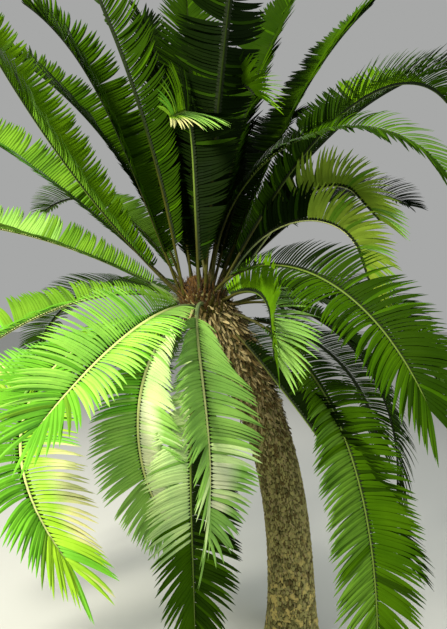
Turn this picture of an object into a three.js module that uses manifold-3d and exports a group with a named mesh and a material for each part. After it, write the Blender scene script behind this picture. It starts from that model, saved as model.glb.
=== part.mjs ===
import * as THREE from "three";
import Module from "manifold-3d";

const wasm = await Module();
wasm.setup();

// Bread palm: one leaning trunk, the woolly heart at its tip and a full crown of feather fronds.
// Millimetres and degrees, +Z up. The origin is the middle of the flat cut at ground level.
// Azimuth 0 points along +X and 90 along +Y. The photograph looks along +Y.

// Trunk
const TRUNK_HEIGHT = 2144;
const LEAN_X = -570;
const LEAN_X_POWER = 2.7;
const LEAN_Y = -350;
const LEAN_Y_POWER = 1.6;
const FOOT_RADIUS = 142;
const TOP_RADIUS = 106;
const FLARE = 30;
const FLARE_HEIGHT = 0.09;
const FLARE_LOBES = 5;
const SHOULDER_START = 0.957;
const SHOULDER_RADIUS = 74;
const CROWN_UPRIGHT = 0.5;
const CROWN_TURN = 0.9;
const TRUNK_SIDES = 14;
const TRUNK_RINGS = 38;
const BARK_RELIEF = 5;
const LEAF_BASE_RELIEF = 9;
const LEAF_BASES_START = 0.6;

// Heart
const HEART_RADIUS = 56;
const HEART_HEIGHT = 66;
const HEART_SIDES = 10;
const HEART_RINGS = 7;
const HEART_RELIEF = 5;

// Clearances
const SEAT_GAP = 0.44;
const BEND_GAP = 0.5;
const LEAF_GAP = 0.6;

// Fronds
const PETIOLE = 0.14;
const PETIOLE_SEGMENTS = 3;
const SEAT_RADIUS_STEEP = 89;
const SEAT_RADIUS_LOW = 48;
const SEAT_TOP = 6;
const SEAT_DEPTH = 136;
const SEAT_SPREAD = 0.7;
const SEAT_RING = 90;
const SEAT_ROOM_ACROSS = 40;
const SEAT_ROOM_ALONG = 35;
const SEAT_PUSH = 0.25;
const SEAT_ROUNDS = 120;
const RIB_HALF_WIDTH = [9.5, 3.4];
const RIB_HALF_HEIGHT = [8, 3];
const BASE_SWELLING = 3;
const BASE_SWELLING_LENGTH = 70;
const LEAFLET_LENGTH = 255;
const LEAFLET_PITCH = 90;
const LEAFLET_TIP_HALF = 1.7;
const LEAFLET_START = 0.24;
const LEAFLET_GROWN = 0.42;
const LEAFLET_GROWTH = 0.8;
const LEAFLET_TIP_LOSS = 0.2;
const LEAFLET_ANGLE_BASE = 78;
const LEAFLET_ANGLE_LOSS = 66;
const LEAFLET_ANGLE_POWER = 5;
const LEAN_REACH = 0.45;
const SHORTER_TRIES = [1, 0.8, 0.6, 0.42];

// Each frond that the photograph shows: azimuth and rise where it leaves the trunk, length, the droop it
// gathers, how late the droop comes, its sideways sweep, the share of its length by which droop and sweep are
// complete, its roll, how far its leaflets fold up and how far the first of them lean forward. A frond that
// curls round a wide gap is split at the share of its length in the last column.
const SEEN_FRONDS = [
  ["front_hanging", -101.5, 22.5, 1352, 126, 0.61, 54, 1, -22, 27, 40, 0.3],
  ["front_curled", -30, 36, 763, 92, 1.03, -58, 0.75, -37, 50, -20, 0.5],
  ["left_front", -111, 16, 1255, 57, 0.59, -11, 1, -30, 30, 10, 0],
  ["left", -176, 36, 1820, 92, 0.53, 1, 1, -25, 27, 10, 0],
  ["left_back", 167, 30, 2020, 30, 1.15, 4, 1, -22, 27, 10, 0],
  ["left_middle", 170, 44, 2020, 18, 1.35, 2, 1, -22, 27, 10, 0],
  ["upper_left", -170, 41, 2000, -22, 0.75, 10, 1, -28, 35, 10, 0],
  ["upper_left_tall", 178, 69, 1850, 35, 3.8, 6, 1, -28, 35, 10, 0],
  ["tall_left", 153, 67, 2060, 35, 1.24, 21, 1, -15, 30, 10, 0],
  ["tall_back", 107, 81, 2160, 20, 2, -10, 1, 0, 25, 10, 0],
  ["overhead_curled", -103, 79, 1340, 105, 8, 6, 0.74, -50, 35, 10, 0.72],
  ["overhead_right", -51, 109, 1430, 165, 2.83, 7, 1, -10, 48, 10, 0.72],
  ["tall_right", 52, 74, 2160, 18, 1.97, -1, 1, 0, 25, 10, 0],
  ["upper_right", 29, 67, 2310, 23, 1.98, -3, 1, 0, 20, 10, 0],
  ["upper_right_low", 8, 58, 2200, 52, 2, 0, 1, 0, 20, 10, 0],
  ["right_arched", -27, 59, 2010, 83, 3, 62, 1, 10, 38, 10, 0.7],
  ["right_hung", -31, 87, 1720, 146, 1.25, 8, 1, 30, 8, 10, 0.55],
  ["right_curled_top", 8, 54, 1240, 105, 4.87, -34, 0.85, 8, 52, 35, 0.72],
  ["right_curled", -7.5, 62, 1210, 134, 1.88, -7.5, 0.85, 12, 55, 35, 0.6],
  ["right_front", -43, 65, 1490, 129, 0.54, -9, 1, 32, 18, 10, 0],
  ["right_outer", -19, 14, 1560, 100, 1.39, 2, 1, 25, 20, 10, 0],
  ["right_hanging", -21, 10, 1950, 101, 0.47, -59, 1, 15, 15, 10, 0],
  ["right_foot", -36, -28, 1460, 28, 0.3, 20, 1, -20, 45, 10, 0],
  ["right_low", 10, 30, 1810, 125, 0.67, 4, 1, 25, 18, 10, 0],
  ["left_low_curled", -182, 16, 1900, 55, 0.3, 152, 0.96, 0, 22, 10, 0.5],
  ["left_hanging", -145, -2, 1420, 129, 0.58, 10, 1, -45, 15, 10, 0.5],
  ["foot_hanging", -121, -39, 1605, 49, 0.3, 71, 1, 0, 22, 10, 0],
  ["left_low", -152, -19, 1730, 5, 1.1, -4, 1, -25, 27, 10, 0],
];

// Fronds behind the heart, in tiers: rise, droop, length, how many, first azimuth and the step between them.
const BACK_TIERS = [
  [79, 22, 2050, 4, 40, 83],
  [66, 45, 2100, 3, 60, 31],
  [48, 60, 2100, 4, 36, 33],
  [20, 74, 2050, 4, 33, 35],
  [-4, 70, 1900, 4, 38, 37],
];
const BACK_BEND = 1.4;
const BACK_FOLD = 25;
const BACK_LEAN = 10;

const TRUNK_MATERIAL = { color: 0x8a744f, roughness: 0.95, metalness: 0 };
const HEART_MATERIAL = { color: 0x9c6a34, roughness: 0.95, metalness: 0 };
const SUNLIT_FROND = { color: 0x86a53c, roughness: 0.5, metalness: 0 };
const SHADED_FROND = { color: 0x3f6b26, roughness: 0.5, metalness: 0 };

const radians = THREE.MathUtils.degToRad;
const degrees = THREE.MathUtils.radToDeg;
const lerp = THREE.MathUtils.lerp;
const clamp = THREE.MathUtils.clamp;

// The trunk's middle line at a share t of its height, and its direction there.
const axisPoint = (t) =>
  new THREE.Vector3(LEAN_X * t ** LEAN_X_POWER, LEAN_Y * t ** LEAN_Y_POWER, TRUNK_HEIGHT * t);

const axisDirection = (t) => {
  const step = 1e-3;
  const low = axisPoint(Math.max(t - step, 0));
  const high = axisPoint(Math.min(t + step, 1));
  return high.sub(low).normalize();
};

// The crown turns half upright again above the leaning trunk. Two more directions lie square to it.
const heartFoot = axisPoint(1);
const crownDirection = axisDirection(1).lerp(new THREE.Vector3(0, 0, 1), CROWN_UPRIGHT).normalize();
const crownSideways = new THREE.Vector3(1, 0, 0)
  .addScaledVector(crownDirection, -crownDirection.x)
  .normalize();
const crownForward = new THREE.Vector3().crossVectors(crownDirection, crownSideways);

const trunkRadius = (t) => {
  const plain = lerp(FOOT_RADIUS, TOP_RADIUS, t);
  const flare = FLARE * Math.exp(-t / FLARE_HEIGHT);
  if (t < SHOULDER_START) return plain + flare;
  const over = (t - SHOULDER_START) / (1 - SHOULDER_START);
  return lerp(SHOULDER_RADIUS, plain, Math.sqrt(Math.max(1 - over * over, 0)));
};

// A closed body from vertices and triangles.
const meshData = () => {
  const positions = [];
  const triangles = [];
  return {
    positions,
    triangles,
    vertex(point) {
      positions.push(point.x, point.y, point.z);
      return positions.length / 3 - 1;
    },
    face(...corners) {
      for (let i = 1; i + 1 < corners.length; i++) triangles.push(corners[0], corners[i], corners[i + 1]);
    },
  };
};

const solidFrom = (data) =>
  new wasm.Manifold(
    new wasm.Mesh({
      numProp: 3,
      vertProperties: new Float32Array(data.positions),
      triVerts: new Uint32Array(data.triangles),
    }),
  );

// Rings of equal size joined into a closed body with a flat fan at each end.
const bodyOfRings = (rings) => {
  const data = meshData();
  const ids = rings.map((ring) => ring.map((point) => data.vertex(point)));
  const sides = ids[0].length;
  for (let j = 0; j + 1 < ids.length; j++) {
    for (let i = 0; i < sides; i++) {
      const next = (i + 1) % sides;
      if ((i + j) % 2) {
        data.face(ids[j][i], ids[j][next], ids[j + 1][next]);
        data.face(ids[j][i], ids[j + 1][next], ids[j + 1][i]);
      } else {
        data.face(ids[j][i], ids[j][next], ids[j + 1][i]);
        data.face(ids[j][next], ids[j + 1][next], ids[j + 1][i]);
      }
    }
  }
  data.face(...[...ids[0]].reverse());
  data.face(...ids[ids.length - 1]);
  return data;
};

// The trunk: rings square to the leaning middle line, alternate corners raised as old leaf bases.
const trunkBody = (extra) => {
  const rings = [];
  for (let j = 0; j <= TRUNK_RINGS; j++) {
    const t = j / TRUNK_RINGS;
    const level = clamp(1 - t / 0.06, 0, 1);
    const turned = clamp((t - CROWN_TURN) / (1 - CROWN_TURN), 0, 1);
    const direction = axisDirection(t)
      .lerp(new THREE.Vector3(0, 0, 1), level)
      .lerp(crownDirection, turned)
      .normalize();
    const sideways = new THREE.Vector3(1, 0, 0).addScaledVector(direction, -direction.x).normalize();
    const forward = new THREE.Vector3().crossVectors(direction, sideways);
    const bases = clamp((t - LEAF_BASES_START) / (1 - LEAF_BASES_START), 0, 1);
    const relief = j === 0 || j === TRUNK_RINGS ? 0 : lerp(BARK_RELIEF, LEAF_BASE_RELIEF, bases);
    const end = direction.clone().multiplyScalar(j === TRUNK_RINGS ? extra : 0);
    const ring = [];
    for (let i = 0; i < TRUNK_SIDES; i++) {
      const angle = (2 * Math.PI * i) / TRUNK_SIDES;
      const lobes = 0.5 * FLARE * Math.exp(-t / FLARE_HEIGHT) * Math.cos(FLARE_LOBES * angle);
      const radius = trunkRadius(t) + lobes + ((i + j) % 2 ? relief : -relief) + extra;
      ring.push(
        axisPoint(t)
          .add(end)
          .addScaledVector(sideways, radius * Math.cos(angle))
          .addScaledVector(forward, radius * Math.sin(angle)),
      );
    }
    rings.push(ring);
  }
  return bodyOfRings(rings);
};

// The heart: a short woolly bud that stands on the trunk's tip.
const heartBody = (extra) => {
  const rings = [];
  for (let j = 0; j <= HEART_RINGS; j++) {
    const share = j / HEART_RINGS;
    const height = SEAT_GAP + HEART_HEIGHT * share;
    const round = Math.sqrt(Math.max(1 - (0.94 * share) ** 2.6, 0));
    const relief = j === 0 || j === HEART_RINGS ? 0 : HEART_RELIEF;
    const ring = [];
    for (let i = 0; i < HEART_SIDES; i++) {
      const angle = (2 * Math.PI * i) / HEART_SIDES;
      const radius = HEART_RADIUS * round + ((i + j) % 2 ? relief : -relief) + extra;
      ring.push(
        heartFoot
          .clone()
          .addScaledVector(crownDirection, height)
          .addScaledVector(crownSideways, radius * Math.cos(angle))
          .addScaledVector(crownForward, radius * Math.sin(angle)),
      );
    }
    rings.push(ring);
  }
  return bodyOfRings(rings);
};

const frondList = () => {
  const list = SEEN_FRONDS.map((row) => {
    const [title, azimuth, rise, length, droop, bend, sweep, settle, roll, fold, lean, split] = row;
    const name = `frond_${title}`;
    return { name, azimuth, rise, length, droop, bend, sweep, settle, roll, fold, lean, split };
  });
  let count = 0;
  for (const [rise, droop, length, many, first, step] of BACK_TIERS) {
    for (let i = 0; i < many; i++) {
      count += 1;
      list.push({
        name: `frond_back_${String(count).padStart(2, "0")}`,
        azimuth: first + i * step,
        rise,
        length,
        droop,
        bend: BACK_BEND,
        sweep: 0,
        settle: 1,
        roll: 0,
        fold: BACK_FOLD,
        lean: BACK_LEAN,
        split: 0,
      });
    }
  }
  return list;
};

// Where a frond wants to start: steep ones beside the heart, low ones further down and deeper in the trunk.
const wishedSeat = (frond) => {
  const direction = ribDirection(frond, 0);
  const azimuth = radians(frond.azimuth);
  const spread = direction.clone();
  spread.x += SEAT_SPREAD * Math.cos(azimuth);
  spread.y += SEAT_SPREAD * Math.sin(azimuth);
  const around = Math.atan2(spread.dot(crownForward), spread.dot(crownSideways));
  const angle = degrees(Math.acos(clamp(direction.dot(crownDirection), -1, 1)));
  const turned = clamp(angle / 120, 0, 1);
  const radius = lerp(SEAT_RADIUS_STEEP, SEAT_RADIUS_LOW, turned);
  return { around, depth: SEAT_TOP + SEAT_DEPTH * turned, radius };
};

// Seats that lie too close push each other apart, round the trunk and along it, round after round.
const pushSeatsApart = (seats) => {
  for (let round = 0; round < SEAT_ROUNDS; round++) {
    for (let i = 0; i < seats.length; i++) {
      for (let j = i + 1; j < seats.length; j++) {
        const turn = seats[i].around - seats[j].around;
        const across = (Math.atan2(Math.sin(turn), Math.cos(turn)) * SEAT_RING) / SEAT_ROOM_ACROSS;
        const along = (seats[i].depth - seats[j].depth) / SEAT_ROOM_ALONG;
        const apart = Math.max(Math.hypot(across, along), 1e-3);
        if (apart >= 1) continue;
        const push = (SEAT_PUSH * (1 - apart)) / apart;
        seats[i].around += (push * across * SEAT_ROOM_ACROSS) / SEAT_RING;
        seats[j].around -= (push * across * SEAT_ROOM_ACROSS) / SEAT_RING;
        seats[i].depth = Math.max(seats[i].depth + push * along * SEAT_ROOM_ALONG, SEAT_TOP);
        seats[j].depth = Math.max(seats[j].depth - push * along * SEAT_ROOM_ALONG, SEAT_TOP);
      }
    }
  }
};

const seatPoint = ({ around, depth, radius }) =>
  axisPoint(1 - depth / TRUNK_HEIGHT)
    .addScaledVector(crownSideways, radius * Math.cos(around))
    .addScaledVector(crownForward, radius * Math.sin(around));

// The rib's azimuth and direction at a share s of its length.
const ribAzimuth = (frond, s) => radians(frond.azimuth + frond.sweep * Math.min(1, s / frond.settle));

const ribDirection = (frond, s) => {
  const rise = radians(frond.rise - frond.droop * Math.min(1, s / frond.settle) ** frond.bend);
  const azimuth = ribAzimuth(frond, s);
  return new THREE.Vector3(
    Math.cos(rise) * Math.cos(azimuth),
    Math.cos(rise) * Math.sin(azimuth),
    Math.sin(rise),
  );
};

const ribPoints = (frond, stations) => {
  const steps = 240;
  const at = frond.seat.clone();
  const line = [at.clone()];
  for (let k = 0; k < steps; k++) {
    at.addScaledVector(ribDirection(frond, (k + 0.5) / steps), frond.length / steps);
    line.push(at.clone());
  }
  return stations.map((s) => {
    const place = clamp(s * steps, 0, steps);
    const low = Math.min(Math.floor(place), steps - 1);
    return line[low].clone().lerp(line[low + 1], place - low);
  });
};

// One station of the rib: its middle, its three directions and the four corners of its section.
const ribStation = (frond, s, middle) => {
  const tangent = ribDirection(frond, s);
  const azimuth = ribAzimuth(frond, s);
  const level = new THREE.Vector3(-Math.sin(azimuth), Math.cos(azimuth), 0);
  const square = new THREE.Vector3().crossVectors(tangent, level);
  const roll = radians(frond.roll);
  const side = level.clone().multiplyScalar(Math.cos(roll)).addScaledVector(square, Math.sin(roll));
  const up = square.clone().multiplyScalar(Math.cos(roll)).addScaledVector(level, -Math.sin(roll));
  const swelling = BASE_SWELLING * Math.exp(-(s * frond.length) / BASE_SWELLING_LENGTH);
  const halfWidth = lerp(...RIB_HALF_WIDTH, s) + swelling;
  const halfHeight = lerp(...RIB_HALF_HEIGHT, s) + swelling;
  const corner = (across, over) =>
    middle
      .clone()
      .addScaledVector(side, across * halfWidth)
      .addScaledVector(up, over * halfHeight);
  return {
    s,
    middle,
    tangent,
    side,
    up,
    leftTop: corner(1, 1),
    leftBottom: corner(1, -1),
    rightTop: corner(-1, 1),
    rightBottom: corner(-1, -1),
  };
};

// The shares of the length where stations lie: a few on the bare petiole, then one for each leaflet.
const stationShares = (frond) => {
  const shares = [];
  for (let k = 0; k < PETIOLE_SEGMENTS; k++) shares.push((PETIOLE * k) / PETIOLE_SEGMENTS);
  const pairs = Math.round((frond.length * (1 - PETIOLE)) / LEAFLET_PITCH);
  for (let k = 0; k <= pairs; k++) shares.push(lerp(PETIOLE, 1, k / pairs));
  return shares;
};

// The six corners of one leaflet: four on the rib's side and two at its tip.
const leafletCorners = (frond, back, front, hand, shorter) => {
  const s = (back.s + front.s) / 2;
  const share = (s - PETIOLE) / (1 - PETIOLE);
  const grown = LEAFLET_START + (1 - LEAFLET_START) * Math.min(1, share / LEAFLET_GROWN) ** LEAFLET_GROWTH;
  const late = Math.max(0, (share - 0.55) / 0.45);
  const length = LEAFLET_LENGTH * grown * (1 - LEAFLET_TIP_LOSS * late ** 1.5) * shorter;
  const lean = frond.lean * Math.max(0, 1 - share / LEAN_REACH);
  const angle = radians(LEAFLET_ANGLE_BASE - LEAFLET_ANGLE_LOSS * share ** LEAFLET_ANGLE_POWER - lean);
  const fold = radians(frond.fold);
  const tangent = back.tangent.clone().add(front.tangent).normalize();
  const side = back.side.clone().add(front.side).normalize().multiplyScalar(hand);
  const up = back.up.clone().add(front.up).normalize();
  const outward = side.clone().multiplyScalar(Math.cos(fold)).addScaledVector(up, Math.sin(fold));
  const direction = tangent
    .clone()
    .multiplyScalar(Math.cos(angle))
    .addScaledVector(outward, Math.sin(angle));
  const square = up.clone().multiplyScalar(Math.cos(fold)).addScaledVector(side, -Math.sin(fold));
  const top = hand > 0 ? "leftTop" : "rightTop";
  const bottom = hand > 0 ? "leftBottom" : "rightBottom";
  const root = new THREE.Vector3();
  for (const point of [back[top], back[bottom], front[top], front[bottom]]) root.addScaledVector(point, 0.25);
  const tip = root.addScaledVector(direction, length);
  return [
    back[top],
    back[bottom],
    front[top],
    front[bottom],
    tip.clone().addScaledVector(square, LEAFLET_TIP_HALF),
    tip.clone().addScaledVector(square, -LEAFLET_TIP_HALF),
  ];
};

// Two convex bodies are clear of each other when some direction holds them apart by the gap.
const LEAFLET_FACES = [
  [0, 2, 4],
  [1, 3, 5],
  [0, 1, 5],
  [0, 4, 5],
  [2, 3, 5],
  [2, 4, 5],
];
const LEAFLET_EDGES = [
  [0, 4],
  [2, 4],
  [1, 5],
  [3, 5],
  [0, 2],
  [0, 1],
  [4, 5],
];
const RIB_FACES = [
  [0, 1, 4],
  [0, 2, 4],
  [1, 3, 5],
  [0, 1, 2],
];
const RIB_EDGES = [
  [0, 4],
  [0, 1],
  [0, 2],
];

const convexBody = (points, faces, edges, owner, index, hand) => {
  const normals = faces.map(([a, b, c]) =>
    new THREE.Vector3()
      .crossVectors(points[b].clone().sub(points[a]), points[c].clone().sub(points[a]))
      .normalize(),
  );
  const directions = edges.map(([a, b]) => points[b].clone().sub(points[a]).normalize());
  const box = new THREE.Box3().setFromPoints(points);
  return { points, normals, directions, box, owner, index, hand };
};

const heldApart = (first, second, axis, gap) => {
  let firstLow = Infinity;
  let firstHigh = -Infinity;
  for (const point of first.points) {
    const reach = point.dot(axis);
    if (reach < firstLow) firstLow = reach;
    if (reach > firstHigh) firstHigh = reach;
  }
  let secondLow = Infinity;
  let secondHigh = -Infinity;
  for (const point of second.points) {
    const reach = point.dot(axis);
    if (reach < secondLow) secondLow = reach;
    if (reach > secondHigh) secondHigh = reach;
  }
  return firstLow - secondHigh > gap || secondLow - firstHigh > gap;
};

const areClear = (first, second, gap) => {
  const grown = first.box.clone().expandByScalar(gap);
  if (!grown.intersectsBox(second.box)) return true;
  for (const axis of first.normals) if (heldApart(first, second, axis, gap)) return true;
  for (const axis of second.normals) if (heldApart(first, second, axis, gap)) return true;
  const cross = new THREE.Vector3();
  for (const a of first.directions) {
    for (const b of second.directions) {
      cross.crossVectors(a, b);
      if (cross.lengthSq() < 1e-6) continue;
      if (heldApart(first, second, cross.normalize(), gap)) return true;
    }
  }
  return false;
};

// A leaflet keeps off the trunk and the heart.
const trunkLine = [];
for (let k = 0; k <= 60; k++) {
  const t = k / 60;
  trunkLine.push({ point: axisPoint(t), radius: trunkRadius(t) + LEAF_BASE_RELIEF + 2 });
}
for (let k = 1; k <= 4; k++) {
  const share = k / 4;
  trunkLine.push({
    point: heartFoot.clone().addScaledVector(crownDirection, HEART_HEIGHT * share),
    radius: HEART_RADIUS + HEART_RELIEF + 2,
  });
}

const clearOfTrunk = (points) => {
  const root = points[0].clone().add(points[3]).multiplyScalar(0.5);
  const tip = points[4];
  const spots = [0.25, 0.5, 0.75, 1].map((share) => root.clone().lerp(tip, share));
  spots.push(points[0], points[2]);
  return spots.every((spot) => trunkLine.every(({ point, radius }) => spot.distanceTo(point) > radius));
};

// Stations and the rib's own space of every frond, and then the leaflets that keep clear of all of it.
const fronds = frondList();
const seats = fronds.map(wishedSeat);
pushSeatsApart(seats);
fronds.forEach((frond, k) => {
  frond.seat = seatPoint(seats[k]);
});
const ribSpace = [];
for (const frond of fronds) {
  const shares = stationShares(frond);
  const middles = ribPoints(frond, shares);
  frond.stations = shares.map((s, k) => ribStation(frond, s, middles[k]));
  for (let k = 0; k + 1 < frond.stations.length; k++) {
    const back = frond.stations[k];
    const front = frond.stations[k + 1];
    const points = [
      back.leftTop,
      back.leftBottom,
      back.rightTop,
      back.rightBottom,
      front.leftTop,
      front.leftBottom,
      front.rightTop,
      front.rightBottom,
    ];
    ribSpace.push(convexBody(points, RIB_FACES, RIB_EDGES, frond.name, k, 0));
  }
}

const leafSpace = [];
const neighbours = (first, second) =>
  first.owner === second.owner && (second.hand === 0 || Math.abs(first.index - second.index) < 2);

for (const frond of fronds) {
  frond.leaflets = new Map();
  for (let k = PETIOLE_SEGMENTS; k + 1 < frond.stations.length; k++) {
    for (const hand of [1, -1]) {
      for (const shorter of SHORTER_TRIES) {
        const points = leafletCorners(frond, frond.stations[k], frond.stations[k + 1], hand, shorter);
        if (!clearOfTrunk(points)) continue;
        const body = convexBody(points, LEAFLET_FACES, LEAFLET_EDGES, frond.name, k, hand);
        const free = (other) => neighbours(body, other) || areClear(body, other, LEAF_GAP);
        if (ribSpace.every(free) && leafSpace.every(free)) {
          leafSpace.push(body);
          frond.leaflets.set(`${k},${hand}`, points);
          break;
        }
      }
    }
  }
}

// The closed body of a frond between two of its stations.
const frondBody = (frond, firstStation, lastStation) => {
  const data = meshData();
  const shift = firstStation > 0 ? BEND_GAP : 0;
  const ids = [];
  for (let k = firstStation; k <= lastStation; k++) {
    const station = frond.stations[k];
    const move = station.tangent.clone().multiplyScalar(k === firstStation ? shift : 0);
    ids[k] = {};
    for (const corner of ["leftTop", "leftBottom", "rightTop", "rightBottom"]) {
      ids[k][corner] = data.vertex(station[corner].clone().add(move));
    }
  }
  for (let k = firstStation; k < lastStation; k++) {
    const back = ids[k];
    const front = ids[k + 1];
    data.face(back.leftTop, back.rightTop, front.rightTop, front.leftTop);
    data.face(back.leftBottom, front.leftBottom, front.rightBottom, back.rightBottom);
    const left = frond.leaflets.get(`${k},1`);
    if (left) {
      const tipTop = data.vertex(left[4]);
      const tipBottom = data.vertex(left[5]);
      data.face(back.leftTop, front.leftTop, tipTop);
      data.face(front.leftTop, front.leftBottom, tipBottom, tipTop);
      data.face(front.leftBottom, back.leftBottom, tipBottom);
      data.face(back.leftBottom, back.leftTop, tipTop, tipBottom);
    } else {
      data.face(back.leftTop, front.leftTop, front.leftBottom, back.leftBottom);
    }
    const right = frond.leaflets.get(`${k},-1`);
    if (right) {
      const tipTop = data.vertex(right[4]);
      const tipBottom = data.vertex(right[5]);
      data.face(front.rightTop, back.rightTop, tipTop);
      data.face(back.rightTop, back.rightBottom, tipBottom, tipTop);
      data.face(back.rightBottom, front.rightBottom, tipBottom);
      data.face(front.rightBottom, front.rightTop, tipTop, tipBottom);
    } else {
      data.face(back.rightTop, back.rightBottom, front.rightBottom, front.rightTop);
    }
  }
  const start = ids[firstStation];
  const end = ids[lastStation];
  data.face(start.leftTop, start.leftBottom, start.rightBottom, start.rightTop);
  data.face(end.leftTop, end.rightTop, end.rightBottom, end.leftBottom);
  return data;
};

const geometryFrom = (solid) => {
  const mesh = solid.getMesh();
  const count = mesh.vertProperties.length / mesh.numProp;
  const positions = new Float32Array(count * 3);
  for (let i = 0; i < count; i++) {
    const first = mesh.numProp * i;
    for (let axis = 0; axis < 3; axis++) positions[3 * i + axis] = mesh.vertProperties[first + axis];
  }
  const geometry = new THREE.BufferGeometry();
  geometry.setAttribute("position", new THREE.BufferAttribute(positions, 3));
  geometry.setIndex([...mesh.triVerts]);
  geometry.computeVertexNormals();
  return geometry;
};

const bodyMaterial = (settings) => new THREE.MeshStandardMaterial({ ...settings, flatShading: true });

const plant = new THREE.Group();
const addNode = (name, solid, settings) => {
  const mesh = new THREE.Mesh(geometryFrom(solid), bodyMaterial(settings));
  mesh.name = name;
  plant.add(mesh);
};

addNode("trunk", solidFrom(trunkBody(0)), TRUNK_MATERIAL);
addNode("crown_heart", solidFrom(heartBody(0)), HEART_MATERIAL);

const seatCut = solidFrom(trunkBody(SEAT_GAP)).add(solidFrom(heartBody(SEAT_GAP)));
for (const frond of fronds) {
  const last = frond.stations.length - 1;
  const sunlit = Math.cos(radians(frond.azimuth + 130)) > 0.3 && frond.rise < 30;
  const material = sunlit ? SUNLIT_FROND : SHADED_FROND;
  const bendStation = frond.stations.findIndex((station) => station.s >= frond.split - 1e-6);
  if (frond.split > 0) {
    const inner = solidFrom(frondBody(frond, 0, bendStation)).subtract(seatCut);
    const outer = solidFrom(frondBody(frond, bendStation, last));
    addNode(`${frond.name}_inner`, inner, material);
    addNode(`${frond.name}_outer`, outer, material);
  } else {
    addNode(frond.name, solidFrom(frondBody(frond, 0, last)).subtract(seatCut), material);
  }
}

export default plant;
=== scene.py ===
"""Dresses the bread palm: bark and leaf bases on the trunk, the woolly heart, ribs and narrow leaflets."""

import math
from itertools import combinations
from types import SimpleNamespace

import bpy
import numpy as np
from bpy.props import FloatProperty, FloatVectorProperty, IntProperty, PointerProperty
from bpy.types import Operator, Panel, PropertyGroup
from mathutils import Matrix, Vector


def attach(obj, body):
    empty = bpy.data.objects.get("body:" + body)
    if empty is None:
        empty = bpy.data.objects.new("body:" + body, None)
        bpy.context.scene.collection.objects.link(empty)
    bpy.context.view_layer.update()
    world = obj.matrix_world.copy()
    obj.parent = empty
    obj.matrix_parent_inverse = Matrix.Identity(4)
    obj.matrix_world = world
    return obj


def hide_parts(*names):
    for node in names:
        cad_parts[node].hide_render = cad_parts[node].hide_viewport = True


bl_info = {
    "name": "Bread Palm",
    "version": (1, 0, 0),
    "blender": (4, 5, 0),
    "location": "3D View > Sidebar > Bread Palm",
    "description": "Makes a bread palm with a leaning trunk, a woolly heart and a crown of feather fronds",
    "category": "Object",
}

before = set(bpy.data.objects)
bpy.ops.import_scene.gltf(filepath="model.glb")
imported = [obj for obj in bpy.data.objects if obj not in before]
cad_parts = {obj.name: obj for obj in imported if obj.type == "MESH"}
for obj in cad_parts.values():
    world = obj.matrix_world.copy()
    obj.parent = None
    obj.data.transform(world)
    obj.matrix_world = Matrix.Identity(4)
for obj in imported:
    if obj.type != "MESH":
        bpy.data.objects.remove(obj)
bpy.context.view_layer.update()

MM = 0.001
SEED = 11
UP = np.array([0.0, 0.0, 1.0])
RIGHT = np.array([1.0, 0.0, 0.0])

# The trunk's middle line, its lean in x and y, and its thickness at the foot and the top, in metres
TRUNK_HEIGHT = 2.144
LEANS = (-0.570, -0.350)
LEAN_POWERS = (2.7, 1.6)
TRUNK_RADII = (0.142, 0.106)
FLARE = 0.030
FLARE_HEIGHT = 0.09
FLARE_LOBES = 5
SHOULDER_START = 0.957
SHOULDER_RADIUS = 0.074
FOOT_UPRIGHT = 0.06
CROWN_UPRIGHT = 0.5
CROWN_TURN = 0.9

# The heart
HEART_RADIUS = 0.056
HEART_HEIGHT = 0.066

# The fronds: the bare stalk's share, where a steep one and a low one start from the crown's middle and how
# they make room for each other, the rib's halves at its foot and tip, and the rule of the leaflets
PETIOLE = 0.14
SEAT_RADII = (0.089, 0.048)
SEAT_TOP = 0.006
SEAT_DEPTH = 0.136
SEAT_SPREAD = 0.7
SEAT_LOWEST_TURN = 120
SEAT_RING = 0.090
SEAT_ROOM_ACROSS = 0.040
SEAT_ROOM_ALONG = 0.035
SEAT_PUSH = 0.25
SEAT_ROUNDS = 120
RIB_HALF_WIDTH = (0.0095, 0.0034)
RIB_HALF_HEIGHT = (0.008, 0.003)
BASE_SWELLING = 0.003
BASE_SWELLING_LENGTH = 0.070
LEAFLET_START = 0.24
LEAFLET_GROWN = 0.42
LEAFLET_GROWTH = 0.8
LEAFLET_LATE = 0.55
LEAFLET_TIP_LOSS = 0.2
LEAFLET_ANGLE_BASE = 78
LEAFLET_ANGLE_LOSS = 66
LEAFLET_ANGLE_POWER = 5
LEAN_REACH = 0.45
RIB_STEPS = 240
RIB_RINGS = 56
FROND_KEYS = "name azimuth rise length droop bend sweep settle roll fold lean tint".split()

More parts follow.
